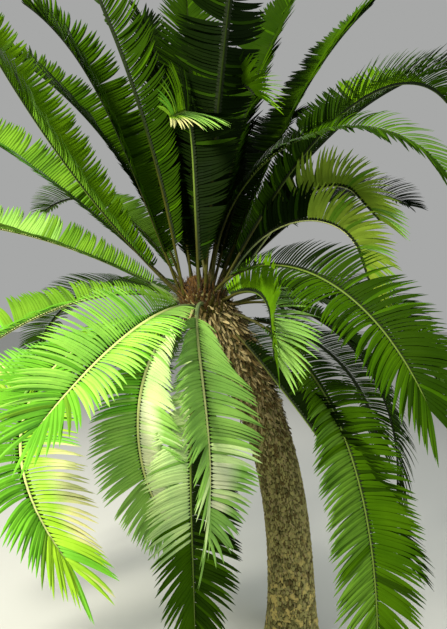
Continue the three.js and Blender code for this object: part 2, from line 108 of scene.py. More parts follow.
# Name, azimuth, rise, length, droop, how late the droop comes, sweep, the share by which both are complete,
# roll, fold of the leaflets, how far the first of them lean forward, and the tint
SEEN_FRONDS = [
    ("front_hanging", -101.5, 22.5, 1.352, 126, 0.61, 54, 1, -22, 27, 40, "hanging"),
    ("front_curled", -30, 36, 0.763, 92, 1.03, -58, 0.75, -37, 50, -20, "curled_front"),
    ("left_front", -111, 16, 1.255, 57, 0.59, -11, 1, -30, 30, 10, "front_left"),
    ("left", -176, 36, 1.820, 92, 0.53, 1, 1, -25, 27, 10, "left"),
    ("left_back", 167, 30, 2.020, 30, 1.15, 4, 1, -22, 27, 10, "left_back"),
    ("left_middle", 170, 44, 2.020, 18, 1.35, 2, 1, -22, 27, 10, "left_middle"),
    ("upper_left", -170, 41, 2.000, -22, 0.75, 10, 1, -28, 35, 10, "upper_left"),
    ("upper_left_tall", 178, 69, 1.850, 35, 3.8, 6, 1, -28, 35, 10, "moss"),
    ("tall_left", 153, 67, 2.060, 35, 1.24, 21, 1, -15, 30, 10, "tall"),
    ("tall_back", 107, 81, 2.160, 20, 2, -10, 1, 0, 25, 10, "tall_back"),
    ("overhead_curled", -103, 79, 1.340, 105, 8, 6, 0.74, -50, 35, 10, "overhead"),
    ("overhead_right", -51, 109, 1.430, 165, 2.83, 7, 1, -10, 48, 10, "over_right"),
    ("tall_right", 52, 74, 2.160, 18, 1.97, -1, 1, 0, 25, 10, "tall_back"),
    ("upper_right", 29, 67, 2.310, 23, 1.98, -3, 1, 0, 20, 10, "tall"),
    ("upper_right_low", 8, 58, 2.200, 52, 2, 0, 1, 0, 20, 10, "deep"),
    ("right_arched", -27, 59, 2.010, 83, 3, 62, 1, 10, 38, 10, "arched"),
    ("right_hung", -31, 87, 1.720, 146, 1.25, 8, 1, 30, 8, 10, "hung"),
    ("right_curled_top", 8, 54, 1.240, 105, 4.87, -34, 0.85, 8, 52, 35, "curled_right"),
    ("right_curled", -7.5, 62, 1.210, 134, 1.88, -7.5, 0.85, 12, 55, 35, "curled_right"),
    ("right_front", -43, 65, 1.490, 129, 0.54, -9, 1, 32, 18, 10, "front_right"),
    ("right_outer", -19, 14, 1.560, 100, 1.39, 2, 1, 25, 20, 10, "outer"),
    ("right_hanging", -21, 10, 1.950, 101, 0.47, -59, 1, 15, 15, 10, "hanging_right"),
    ("right_foot", -36, -28, 1.460, 28, 0.3, 20, 1, -20, 45, 10, "foot"),
    ("right_low", 10, 30, 1.810, 125, 0.67, 4, 1, 25, 18, 10, "deep"),
    ("left_low_curled", -182, 16, 1.900, 55, 0.3, 152, 0.96, 0, 22, 10, "low_curled"),
    ("left_hanging", -145, -2, 1.420, 129, 0.58, 10, 1, -45, 15, 10, "hanging_left"),
    ("foot_hanging", -121, -39, 1.605, 49, 0.3, 71, 1, 0, 22, 10, "foot_left"),
    ("left_low", -152, -19, 1.730, 5, 1.1, -4, 1, -25, 27, 10, "low_left"),
]

# Fronds behind the heart, in tiers: rise, droop, length, first azimuth, step, tints in turn. Their dark
# tints are painted shade, deepest in the upper tiers
BACK_TIERS = [
    (79, 22, 2.050, 40, 83, ("deep", "dark", "deep", "dark")),
    (66, 45, 2.100, 60, 31, ("dark", "dark", "deep")),
    (48, 60, 2.100, 36, 33, ("dark", "deep", "moss", "leaf")),
    (20, 74, 2.050, 33, 35, ("deep", "moss", "leaf", "leaf")),
    (-4, 70, 1.900, 38, 37, ("deep", "moss", "leaf", "grass")),
]
BACK_BEND = 1.4
BACK_FOLD = 25
BACK_LEAN = 10

# Leaf tints from the palest to the darkest: the leaves that have it, its colour on a scale to 255, and the
# tint that a few of its leaflets take instead. The first eight are lit. The tints paint sun and shade into
# the leaves' colour: painted sunlight, sun glare and light shining through, then painted half shade and deep
# shade
TINTS = {
    # White is painted sun glare, not the leaves' own colour
    "white": ("whitened by the full sun", (206, 214, 178), "pale"),
    "cream": ("in full sun", (188, 190, 130), "sunny"),
    "pale": ("in the sun, grey-green", (190, 218, 148), "mint"),
    "sunny": ("in the sun, yellow-green", (140, 186, 40), "lime"),
    "fresh": ("of the lit frond at the left", (146, 206, 80), "lime"),
    "mint": ("that the light falls along", (134, 182, 82), "soft"),
    "soft": ("at the front, grey-green", (114, 156, 70), "mint"),
    "lime": ("that light shines through", (104, 172, 42), "grass"),
    "vivid": ("with the light behind them", (92, 134, 14), "grass"),
    "olive": ("of the curled fronds", (132, 160, 54), "grass"),
    "grass": ("in half shade", (98, 142, 38), "leaf"),
    "leaf": ("in open shade", (78, 114, 34), "moss"),
    "moss": ("of the tall fronds", (54, 87, 4), "deep"),
    # Deep and dark are painted shade inside, behind and over the crown
    "deep": ("inside the crown", (34, 58, 3), "moss"),
    "dark": ("behind and overhead", (14, 27, 2), "deep"),
}
TINT_NAMES = list(TINTS)
PALE_TINTS = TINT_NAMES[:8]
# Tints of painted shade, whose fronds get the dark ribs
DARK_TINTS = ("moss", "deep", "dark", "tall", "tall_back")

# Tints that pass into another one along the leaflet: the tint at its root and the one at its tip. The white
# roots and the cream tips are painted sun glare
FADING_TINTS = {"white": ("white", "mint"), "cream": ("sunny", "cream")}

# Fronds with more than one tint: up to a share of the length, the tint left of the rib and right of it.
# The zones paint sun and shade along each frond, such as a shaded inner half and sunlit tips
ZONED_TINTS = {
    "hanging": (
        (0.3, "soft", "soft"),
        (0.7, "soft", "mint"),
        (0.74, "pale", "mint"),
        (0.88, "white", "pale"),
        (1, "mint", "soft"),
    ),
    "curled_front": ((1, "mint", "vivid"),),
    "front_left": ((0.3, "soft", "grass"), (0.85, "fresh", "fresh"), (1, "lime", "lime")),
    "left": ((0.5, "lime", "grass"), (1, "mint", "lime")),
    "left_back": ((0.4, "leaf", "grass"), (1, "leaf", "mint")),
    "left_middle": ((0.35, "leaf", "moss"), (1, "lime", "grass")),
    "upper_left": ((0.55, "grass", "vivid"), (1, "moss", "vivid")),
    "tall": ((0.4, "deep", "deep"), (1, "moss", "moss")),
    "tall_back": ((0.55, "dark", "dark"), (1, "deep", "deep")),
    "overhead": ((0.68, "dark", "dark"), (0.9, "mint", "vivid"), (1, "cream", "sunny")),
    "over_right": ((0.5, "dark", "dark"), (1, "vivid", "moss")),
    "arched": ((0.6, "deep", "deep"), (1, "vivid", "moss")),
    "hung": ((0.5, "dark", "dark"), (0.72, "moss", "deep"), (1, "leaf", "deep")),
    "curled_right": ((0.5, "deep", "dark"), (0.86, "olive", "olive"), (1, "mint", "olive")),
    "front_right": ((0.4, "dark", "deep"), (1, "deep", "moss")),
    "outer": ((0.35, "deep", "moss"), (1, "moss", "leaf")),
    "hanging_right": ((0.3, "deep", "moss"), (1, "moss", "leaf")),
    "foot": ((0.5, "deep", "dark"), (1, "moss", "deep")),
    "foot_left": ((0.62, "dark", "pale"), (1, "deep", "moss")),
    "low_curled": (
        (0.55, "lime", "lime"),
        (0.68, "sunny", "lime"),
        (0.92, "cream", "lime"),
        (1, "sunny", "sunny"),
    ),
    "hanging_left": ((0.35, "pale", "lime"), (0.85, "white", "mint"), (1, "pale", "mint")),
    "low_left": ((0.5, "sunny", "lime"), (1, "white", "cream")),
}
ZONE_RAGGED = 0.03
KIN_SHARE = 0.09
MOST_LEAFLETS = 2300

# Fronds near the front, whose stalks are grey-green and whose ribs are pale: partly their own pale green,
# partly painted sunlight
PALE_RIBS = (
    "front_hanging left_front left left_back left_low left_low_curled left_hanging"
    " right_curled right_curled_top"
).split()


def smooth(low, high, value):
    """0 below low, 1 above high and the cubic 3x^2 - 2x^3 between them."""
    share = np.clip((value - low) / (high - low), 0, 1)
    return share * share * (3 - 2 * share)


def unit(vectors):
    """Each vector divided by its own length."""
    return vectors / np.linalg.norm(vectors, axis=-1, keepdims=True)


def blend(first, second, share):
    """The straight mix of two values."""
    return first + (second - first) * share


def swing(first, second, angle):
    """A direction turned towards a second one: first times the angle's cosine plus second times its sine."""
    angle = np.asarray(angle)[..., None]
    return first * np.cos(angle) + second * np.sin(angle)


def axis_point(t):
    """The trunk's middle line: x and y are their lean times a power of the share t, z is t of the height."""
    t = np.asarray(t, float)[..., None]
    return np.concatenate([LEANS * t**LEAN_POWERS, TRUNK_HEIGHT * t], -1)


def axis_direction(t):
    """The middle line's direction, from two points a thousandth of the height to either side."""
    t = np.asarray(t, float)
    return unit(axis_point(np.minimum(t + 1e-3, 1)) - axis_point(np.maximum(t - 1e-3, 0)))


HEART_FOOT = axis_point(1.0)
CROWN = unit(blend(axis_direction(1.0), UP, CROWN_UPRIGHT))
CROWN_SIDEWAYS = unit(RIGHT - CROWN * CROWN[0])
CROWN_FORWARD = np.cross(CROWN, CROWN_SIDEWAYS)


def round_crown(angle):
    """The direction square to the crown's at an angle round it."""
    return swing(CROWN_SIDEWAYS, CROWN_FORWARD, angle)


def trunk_radius(t):
    """A straight taper, plus a flare that fades upwards by an exponential, rounded in at the shoulder."""
    plain = blend(*TRUNK_RADII, t)
    flare = FLARE * np.exp(-t / FLARE_HEIGHT)
    over = np.clip((t - SHOULDER_START) / (1 - SHOULDER_START), 0, 1)
    rounded = blend(SHOULDER_RADIUS, plain, np.sqrt(1 - over * over))
    return np.where(t < SHOULDER_START, plain + flare, rounded)


def trunk_frame(t):
    """The trunk's direction, upright at the foot and the crown's at the tip, and two square to it."""
    t = np.asarray(t, float)[..., None]
    direction = blend(axis_direction(t[..., 0]), UP, np.clip(1 - t / FOOT_UPRIGHT, 0, 1))
    direction = unit(blend(direction, CROWN, np.clip((t - CROWN_TURN) / (1 - CROWN_TURN), 0, 1)))
    sideways = unit(RIGHT - direction * direction[..., :1])
    return direction, sideways, np.cross(direction, sideways)


def trunk_surface(t, angle, lift):
    """A point off the trunk's middle line by the radius, flare lobes and a lift, and the way outward."""
    _, sideways, forward = trunk_frame(t)
    lobes = 0.5 * FLARE * np.exp(-t / FLARE_HEIGHT) * np.cos(FLARE_LOBES * angle)
    radius = (trunk_radius(t) + lobes + lift)[..., None]
    outward = swing(sideways, forward, angle)
    return axis_point(t) + outward * radius, outward


def rib_azimuth(frond, s):
    """The rib's azimuth: the first one plus the sweep, in proportion to s until the sweep is complete."""
    return np.radians(frond.azimuth + frond.sweep * np.minimum(1, s / frond.settle))


def rib_direction(frond, s):
    """The rib's direction: its rise less the droop times a power of s, until the droop is complete."""
    s = np.asarray(s, float)
    rise = np.radians(frond.rise - frond.droop * np.minimum(1, s / frond.settle) ** frond.bend)
    azimuth = rib_azimuth(frond, s)
    return np.stack([np.cos(rise) * np.cos(azimuth), np.cos(rise) * np.sin(azimuth), np.sin(rise)], -1)


def wished_seat(frond):
    """Angle, depth and radius on the crown where a frond wants to start, deeper the lower it points."""
    direction = rib_direction(frond, 0.0)
    azimuth = math.radians(frond.azimuth)
    spread = direction + SEAT_SPREAD * np.array([math.cos(azimuth), math.sin(azimuth), 0.0])
    around = math.atan2(spread @ CROWN_FORWARD, spread @ CROWN_SIDEWAYS)
    turned = min(math.degrees(math.acos(direction @ CROWN)) / SEAT_LOWEST_TURN, 1.0)
    return [around, SEAT_TOP + SEAT_DEPTH * turned, blend(*SEAT_RADII, turned)]


def push_seats_apart(seats):
    """Seats that lie too close push each other apart, round the trunk and along it, round after round."""
    for _ in range(SEAT_ROUNDS):
        for first, second in combinations(seats, 2):
            turn = first[0] - second[0]
            across = math.atan2(math.sin(turn), math.cos(turn)) * SEAT_RING / SEAT_ROOM_ACROSS
            along = (first[1] - second[1]) / SEAT_ROOM_ALONG
            apart = max(math.hypot(across, along), 1e-3)
            push = SEAT_PUSH * max(1 - apart, 0) / apart
            for seat, way in ((first, push), (second, -push)):
                seat[0] += way * across * SEAT_ROOM_ACROSS / SEAT_RING
                seat[1] = max(seat[1] + way * along * SEAT_ROOM_ALONG, SEAT_TOP)


def frond_list():
    """Every frond with its numbers by name, the ones behind worked out in tiers, and where each starts."""
    rows = list(SEEN_FRONDS)
    for rise, droop, length, first, step, tints in BACK_TIERS:
        for i, tint in enumerate(tints):
            name = f"back_{len(rows) - len(SEEN_FRONDS) + 1:02d}"
            course = (first + i * step, rise, length, droop, BACK_BEND, 0, 1, 0)
            rows.append((name, *course, BACK_FOLD, BACK_LEAN, tint))
    fronds = [SimpleNamespace(**dict(zip(FROND_KEYS, row))) for row in rows]
    seats = [wished_seat(frond) for frond in fronds]
    push_seats_apart(seats)
    for frond, (around, depth, radius) in zip(fronds, seats):
        frond.seat = axis_point(1 - depth / TRUNK_HEIGHT) + round_crown(around) * radius
    return fronds


def rib_line(frond, s):
    """Middle, direction, side and upper side of the rib at shares s, the middle by adding up short steps."""
    steps = (np.arange(RIB_STEPS) + 0.5) / RIB_STEPS
    walked = np.cumsum(rib_direction(frond, steps), 0) * frond.length / RIB_STEPS
    line = np.vstack([np.zeros(3), walked]) + frond.seat
    ends = np.arange(RIB_STEPS + 1) / RIB_STEPS
    middle = np.stack([np.interp(s, ends, line[:, axis]) for axis in range(3)], -1)
    tangent = rib_direction(frond, s)
    azimuth = rib_azimuth(frond, s)
    level = np.stack([-np.sin(azimuth), np.cos(azimuth), 0 * azimuth], -1)
    square = np.cross(tangent, level)
    roll = math.radians(frond.roll)
    return middle, tangent, swing(level, square, roll), swing(square, -level, roll)


def rib_halves(frond, s):
    """Half the rib's width and height at s: a straight taper with a swelling that fades from the base."""
    swelling = BASE_SWELLING * np.exp(-s * frond.length / BASE_SWELLING_LENGTH)
    return blend(*RIB_HALF_WIDTH, s) + swelling, blend(*RIB_HALF_HEIGHT, s) + swelling


def grid(shares, around):
    """The two parameters of a surface round an axis, as whole arrays: the shares along it and the angle."""
    return np.meshgrid(shares, 2 * np.pi * np.arange(around) / around, indexing="ij")


def tubes(points, rings, around, flipped=False):
    """A shape of closed tubes from their points, tube after tube and ring after ring.

    Each ring's points join the next ring's, the last point of a ring joins its first, and a fan of triangles
    closes each end. A shape is points (n, 3), four-cornered faces (m, 4) and three-cornered faces (k, 3).
    """
    points = points.reshape(-1, 3)
    ring = np.arange(rings - 1)[:, None] * around
    here = np.arange(around)
    after = (here + 1) % around
    sleeve = np.stack([ring + here, ring + after, ring + around + after, ring + around + here], -1)
    fan = np.arange(1, around - 1)
    start = np.stack([0 * fan, fan + 1, fan], -1)
    end = np.stack([0 * fan, fan, fan + 1], -1) + (rings - 1) * around
    tube = np.arange(len(points) // (rings * around))[:, None, None] * rings * around
    quads = (sleeve.reshape(-1, 4) + tube).reshape(-1, 4)
    triangles = (np.vstack([start, end]) + tube).reshape(-1, 3)
    if flipped:
        return points, quads[:, ::-1], triangles[:, ::-1]
    return points, quads, triangles


def fill_mesh(name, points, quads, triangles):
    """A mesh from the whole arrays of a shape."""
    mesh = bpy.data.meshes.new(name)
    mesh.vertices.add(len(points))
    mesh.vertices.foreach_set("co", points.astype(np.float32).ravel())
    corners = np.concatenate([quads.ravel(), triangles.ravel()]).astype(np.int32)
    mesh.loops.add(len(corners))
    mesh.loops.foreach_set("vertex_index", corners)
    starts = np.concatenate([np.arange(len(quads)) * 4, quads.size + np.arange(len(triangles)) * 3])
    mesh.polygons.add(len(starts))
    mesh.polygons.foreach_set("loop_start", starts.astype(np.int32))
    mesh.update(calc_edges=True)
    mesh.validate()
    return mesh


def put(name, data):
    """Puts an object with this data into the scene, at the origin."""
    item = bpy.data.objects.new(name, data)
    bpy.context.scene.collection.objects.link(item)
    return item


def add_piece(name, shape, material, nodes, values=None, smooth_faces=False):
    """Puts a shape into the scene as a piece that rides on the plant and stands for its CAD nodes.

    The values are numbers for its points, which the material reads by their names.
    """
    mesh = fill_mesh(name, *shape)
    for key, numbers in (values or {}).items():
        attribute = mesh.attributes.new(key, "FLOAT", "POINT")
        attribute.data.foreach_set("value", numbers.ravel().astype(np.float32))
    mesh.materials.append(material)
    mesh.polygons.foreach_set("use_smooth", np.full(len(mesh.polygons), smooth_faces))
    piece = put(name, mesh)
    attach(piece, "root")
    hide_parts(*nodes)


class Shade:
    """A shader socket that Python's operators work on: each operator adds one Math node."""

    def __init__(self, finish, socket):
        self.finish = finish
        self.socket = socket

    def maths(self, operation, first, second):
        return self.finish.node("ShaderNodeMath", {"operation": operation}, {0: first, 1: second})

    def __add__(self, other):
        return self.maths("ADD", self, other)

    def __radd__(self, other):
        return self.maths("ADD", other, self)

    def __mul__(self, other):
        return self.maths("MULTIPLY", self, other)

    def __rmul__(self, other):
        return self.maths("MULTIPLY", other, self)


class Finish:
    """A material, its Principled shader and the one method that adds any other node."""

    def __init__(self, name, **constants):
        self.material = bpy.data.materials.new(name)
        self.material.use_nodes = True
        self.tree = self.material.node_tree
        self.shader = self.tree.nodes["Principled BSDF"]
        for socket, value in constants.items():
            self.shader.inputs[socket.replace("_", " ")].default_value = value

    def node(self, kind, settings=None, sockets=None, output=0):
        """One output of a new node, which gets its settings first, then a value or link for each socket."""
        made = self.tree.nodes.new(kind)
        for key, value in (settings or {}).items():
            setattr(made, key, value)
        for key, value in (sockets or {}).items():
            if isinstance(value, Shade):
                self.tree.links.new(value.socket, made.inputs[key])
            else:
                made.inputs[key].default_value = value
        return Shade(self, made.outputs[output])

    def place(self):
        """Where a point of the piece lies, in metres."""
        return self.node("ShaderNodeTexCoord", output=3)

    def stored(self, name):
        """The number that the mesh holds for each point under this name."""
        return self.node("ShaderNodeAttribute", {"attribute_name": name}, output=2)

    def noise(self, scale, detail=3.0, roughness=0.5, squeeze=1.0):
        """Cloudy noise from 0 to 1 with so many lumps to a metre, and fewer by the squeeze upwards."""
        vector = self.node("ShaderNodeMapping", None, {0: self.place(), 3: (1.0, 1.0, squeeze)})
        return self.node("ShaderNodeTexNoise", None, {0: vector, 2: scale, 3: detail, 4: roughness})

    def between(self, share, low, high):
        """The share stretched so that low gives 0 and high gives 1, and nothing beyond."""
        return self.node("ShaderNodeMapRange", {"clamp": True}, {0: share, 1: low, 2: high, 3: 0.0, 4: 1.0})

    def mix(self, share, first, second):
        """Two colours mixed by a share from 0 to 1."""
        first, second = [c if isinstance(c, Shade) else (*c, 1.0) for c in (first, second)]
        return self.node("ShaderNodeMix", {"data_type": "RGBA"}, {0: share, 6: first, 7: second}, output=2)

    def feed(self, socket, value):
        """Links a value to one of the shader's own sockets."""
        self.tree.links.new(value.socket, self.shader.inputs[socket])

    def raise_surface(self, height, distance, strength):
        """Bumps the surface by a height from 0 to 1 times a distance in metres."""
        sockets = {"Strength": strength, "Distance": distance, "Height": height}
        self.feed("Normal", self.node("ShaderNodeBump", None, sockets))


# Factors of red, green and blue where a leaf's tint is deeper or brighter, and in a rib's flecks
DEEPER = (0.74, 0.8, 0.7)
BRIGHTER = (1.16, 1.1, 1.0)
FLECKED = (0.55, 0.45, 0.4)
GREY_BARK = (0.10, 0.107, 0.048)


def leaf_finish(name, tints, gloss):
    """Leathery green: the tint drifts between a deeper and a brighter green, and the gloss drifts with it.

    Where there are two tints, the second takes over a little before the leaflet's middle.
    """
    finish = Finish(name, Specular_IOR_Level=gloss)
    drift = finish.between(finish.noise(5.0, 2.0), 0.34, 0.66)
    shades = []
    for tint in np.array(tints):
        shades.append(finish.mix(drift, tint * DEEPER, np.minimum(tint * BRIGHTER, 1)))
    if len(shades) > 1:
        shades[0] = finish.mix(finish.between(finish.stored("along"), 0.3, 0.6), *shades)
    finish.feed("Base Color", shades[0])
    finish.feed("Roughness", 0.42 + 0.14 * drift)
    return finish.material


def rib_finish(name, petiole, rib, gloss):
    """Waxy rib: the bare stalk's colour at its foot, the rib's beyond by the place along it, and flecks."""
    finish = Finish(name, Roughness=0.5, Specular_IOR_Level=gloss)
    share = finish.between(finish.stored("along"), PETIOLE * 1.5, PETIOLE * 3.2)
    fleck = finish.between(finish.noise(70.0), 0.56, 0.7)
    colour = finish.mix(share, petiole, rib)
    finish.feed("Base Color", finish.mix(0.4 * fleck, colour, np.array(rib) * FLECKED))
    return finish.material


def foot_sun_patches(finish, colour, pale):
    """The colour with yellow-pale patches of painted sunlight near the foot, where a cloudy noise is dense.
    """
    level = finish.node("ShaderNodeSeparateXYZ", None, {0: finish.place()}, output=2)
    patch = finish.between(finish.noise(24.0, 3.0, 0.6), 0.54, 0.61)
    return finish.mix(patch * finish.between(level, 0.85, 0.3), colour, pale)


def bark_finish(name, tan, dark, pale):
    """Bark: painted shade between the flakes, tan on them, a little its own on each, grey clouds, pale
    patches.
    """
    finish = Finish(name, Roughness=0.95, Specular_IOR_Level=0.1)
    tan = np.array(tan)
    own = finish.mix(finish.stored("flake"), tan * 0.5, np.minimum(tan * 1.6, 1))
    # Painted shade: darker in the hollows between the flakes
    colour = finish.mix(finish.between(finish.stored("relief"), 0.1, 0.5), dark, own)
    grey = finish.between(finish.noise(4.0), 0.5, 0.68)
    # Pale patches near the foot are painted sunlight
    finish.feed("Base Color", foot_sun_patches(finish, finish.mix(0.4 * grey, colour, GREY_BARK), pale))
    finish.raise_surface(finish.noise(90.0, 5.0, 0.65, squeeze=0.4), 0.004, 0.8)
    return finish.material


def base_finish(name, colour, pale=None):
    """Dry leaf base: fibrous streaks along it, weathered in clouds, painted sun patches near the foot if
    asked.
    """
    finish = Finish(name, Roughness=0.9, Specular_IOR_Level=0.2)
    colour = np.array(colour)
    streak = finish.noise(160.0, 3.0, 0.6, squeeze=0.25)
    share = finish.between(0.6 * streak + 0.4 * finish.noise(20.0), 0.38, 0.62)
    shade = finish.mix(share, colour * 0.6, np.minimum(colour * 1.2, 1))
    finish.feed("Base Color", shade if pale is None else foot_sun_patches(finish, shade, pale))
    finish.raise_surface(streak, 0.002, 0.6)
    return finish.material


def wool_finish(name, colour, dark):
    """Wool of the heart: its colour and its dark shade in fine clouds, with a soft sheen."""
    finish = Finish(name, Roughness=0.95, Specular_IOR_Level=0.1, Sheen_Weight=0.4)
    share = finish.between(finish.noise(55.0, 5.0, 0.65), 0.36, 0.62)
    finish.feed("Base Color", finish.mix(share, dark, colour))
    finish.raise_surface(finish.noise(240.0, 4.0, 0.6), 0.003, 0.8)
    return finish.material


# One leaflet's outline: shares of its length, and the half widths of its two margins and the ridge's height,
# which it has at its full length
OUTLINE_SHARES = np.array([0, 0.02, 0.045, 0.09, 0.2, 0.4, 0.57, 0.7, 0.73, 0.83, 0.855, 0.94, 1.0])
TOOTHED_MARGIN = np.array([2.6, 3.2, 8.0, 10.6, 12.2, 12.4, 11.4, 10.4, 8.6, 8.0, 6.0, 3.4, 0.3]) * MM
PLAIN_MARGIN = np.array([2.6, 3.2, 8.0, 10.6, 12.2, 12.4, 11.0, 9.0, 8.5, 6.4, 5.8, 2.8, 0.3]) * MM
RIDGE = np.array([1.8, 1.8, 2.2, 3.0, 3.6, 3.7, 3.5, 3.2, 3.0, 2.5, 2.3, 1.2, 0.3]) * MM
FULL_LENGTH = 0.255
LEAFLET_ARCH = 0.03

# The share of the leaflets at the foot of the front fronds that have long dropped off
BARE = {"front_hanging": 0.14, "left_front": 0.09}

# How much further forward, in degrees, the leaflets of a frond hang at shares of its length
FORWARD = {"front_hanging": ((0, 0.3, 0.55, 0.85, 1), (18, 18, 5, -18, -8))}

# Leaflets close up in clumps: the share of them that start a new one, and the pull in degrees for each place
CLUMP_ENDS = 0.2
CLUMP_PULL = 0.9

# How leaflets differ: along the rib in pitches, in length by factors, in waves by radians along the frond,
# and in angle, fold and turn by degrees, more and more loosely from the frond's foot to its tip
PITCH_SPREAD = 0.12
LENGTH_SPREAD = (0.94, 1.02)
SLOW_WAVE = (20, 34)
QUICK_WAVE = (50, 80)
WAVE_START = (0, 6.28)
QUICK_PART = 0.6
LOOSENESS = (0.6, 1.6)
ANGLE_SWAY = 1.2
FOLD_SWAY = 2.0
FOLD_SPREAD = 1.6
BLADE_TURN = 15
TURN_SPREAD = 3.5

# The rings of a dark wedge of painted shade between two leaflets' roots: how far out, half the width and
# half the thickness
ROOT_SHADOW_RINGS = ((-0.003, 0.0076, 0.0020), (0.008, 0.0070, 0.0014), (0.016, 0.0024, 0.0006))
ROOT_SHADOW_ALONG = 0.0076
ROOT_SHADOW_BELOW = 0.0018


def leaflet_rows(frond, size, pitch, random):
    """Root, direction, across, normal, rib direction, length, hand and share of every leaflet of one frond.

    The length grows to full over the first stretch and shrinks a little to the tip, the angle to the rib
    closes with the fifth power of the share, less the lean of the first ones, and the fold lifts the
    direction from the rib's side to its upper side. Neighbours sway by two waves along the rib, and each by
    itself. They close up in clumps of about five: the angle grows with the place from the clump's middle.
    """
    pairs = round(frond.length * (1 - PETIOLE) / pitch)
    rows = []
    for hand in (1, -1):
        share = (np.arange(pairs) + 0.5 + random.uniform(-PITCH_SPREAD, PITCH_SPREAD, pairs)) / pairs
        s = blend(PETIOLE, 1, share)
        middle, tangent, side, up = rib_line(frond, s)
        side = side * hand
        half_width, half_height = rib_halves(frond, s)
        wave = np.sin(share * random.uniform(*SLOW_WAVE) + random.uniform(*WAVE_START))
        quick = np.sin(share * random.uniform(*QUICK_WAVE) + random.uniform(*WAVE_START))
        wave = wave + QUICK_PART * quick
        loose = blend(*LOOSENESS, share**2)
        clump = np.cumsum(random.uniform(0, 1, pairs) < CLUMP_ENDS)
        place = np.arange(pairs)
        place = place - (np.bincount(clump, place) / np.maximum(np.bincount(clump), 1))[clump]
        grown = LEAFLET_START + (1 - LEAFLET_START) * np.minimum(1, share / LEAFLET_GROWN) ** LEAFLET_GROWTH
        late = np.maximum(0, (share - LEAFLET_LATE) / (1 - LEAFLET_LATE))
        length = size * grown * (1 - LEAFLET_TIP_LOSS * late**1.5) * random.uniform(*LENGTH_SPREAD, pairs)
        lean = frond.lean * np.maximum(0, 1 - share / LEAN_REACH)
        lean = lean + np.interp(share, *FORWARD.get(frond.name, ((0, 1), (0, 0))))
        angle = LEAFLET_ANGLE_BASE - LEAFLET_ANGLE_LOSS * share**LEAFLET_ANGLE_POWER - lean
        sway = ANGLE_SWAY * wave + random.normal(0, ANGLE_SWAY, pairs)
        angle = np.radians(angle + CLUMP_PULL * place + loose * sway)
        fold = frond.fold + loose * (FOLD_SWAY * wave + random.normal(0, FOLD_SPREAD, pairs))
        direction = swing(tangent, swing(side, up, np.radians(fold)), angle)
        across = unit(tangent - direction * np.sum(direction * tangent, -1, keepdims=True)) * -hand
        normal = np.cross(direction, across)
        turn = np.radians(BLADE_TURN + loose * random.normal(0, TURN_SPREAD, pairs)) * -hand
        blade = (direction, swing(across, normal, turn), swing(normal, -across, turn))
        root = middle + side * (half_width * 0.8)[:, None] + up * (half_height * 0.45)[:, None]
        rows.append((root, *blade, tangent, length, np.full(pairs, hand), share))
    rows = [np.concatenate(column) for column in zip(*rows)]
    kept = rows[-1] >= BARE.get(frond.name, 0.0)
    return [column[kept] for column in rows]


def tint_rows(frond, hand, share, random):
    """Each leaflet's tint number: its zone's tint with a ragged border, and now and then that tint's kin."""
    zones = ZONED_TINTS.get(frond.tint, ((1, frond.tint, frond.tint),))
    place = np.clip(share + random.normal(0, ZONE_RAGGED, len(share)), 0, 0.999)
    tint = np.zeros(len(share), int)
    low = 0.0
    for high, left, right in zones:
        inside = (place >= low) & (place < high)
        tint[inside] = np.where(hand[inside] > 0, TINT_NAMES.index(left), TINT_NAMES.index(right))
        low = high
    kin = np.array([TINT_NAMES.index(name) for _, _, name in TINTS.values()])
    return np.where(random.uniform(0, 1, len(share)) < KIN_SHARE, kin[tint], tint)


def leaflet_blades(rows, bow, sag, width):
    """A shape of closed blades with a triangular section: two margins and a ridge.

    A blade's middle at share u is root + length (u direction - 4 bow u (1 - u) rib direction
    + 4 arch u (1 - u) normal - sag u^2 up). The margins lie across it by the outline's half widths.
    """
    root, direction, across, normal, tangent, length, hand, _ = rows
    u = OUTLINE_SHARES[:, None]
    hump = 4 * u * (1 - u)
    middle = root[:, None] + length[:, None, None] * (
        u * direction[:, None]
        - bow * hump * tangent[:, None]
        + LEAFLET_ARCH * hump * normal[:, None]
        - sag * u * u * UP
    )
    scale = (width * np.sqrt(length / FULL_LENGTH))[:, None, None]
    left = hand[:, None, None] > 0
    toothed = TOOTHED_MARGIN[:, None] * scale
    plain = PLAIN_MARGIN[:, None] * scale
    lower = middle - across[:, None] * np.where(left, plain, toothed)
    upper = middle + across[:, None] * np.where(left, toothed, plain)
    ridge = middle + normal[:, None] * RIDGE[:, None]
    return tubes(np.stack([lower, upper, ridge], 2), len(OUTLINE_SHARES), 3)


def leaflet_pads(rows):
    """A shape of small dark wedges of painted shade on the rib, between the leaflets' narrow roots.

    A wedge is a box from the root out, half way between the leaflet's direction and square to the rib, moved
    half a leaflet along the rib.
    """
    root, direction, _, normal, tangent, _, hand, _ = rows
    inclined = np.sum(direction * tangent, -1, keepdims=True)
    out = unit(direction - 0.5 * tangent * inclined)
    middle = root + tangent * ROOT_SHADOW_ALONG - normal * ROOT_SHADOW_BELOW
    corners = [(-1, -1), (1, -1), (1, 1), (-1, 1)]
    rings = []
    for reach, wide, thick in ROOT_SHADOW_RINGS:
        along = tangent * wide * hand[:, None]
        foot = middle + out * reach
        rings.append(np.stack([foot + along * a + normal * (b * thick) for a, b in corners], 1))
    return tubes(np.stack(rings, 1), len(rings), len(corners), flipped=True)


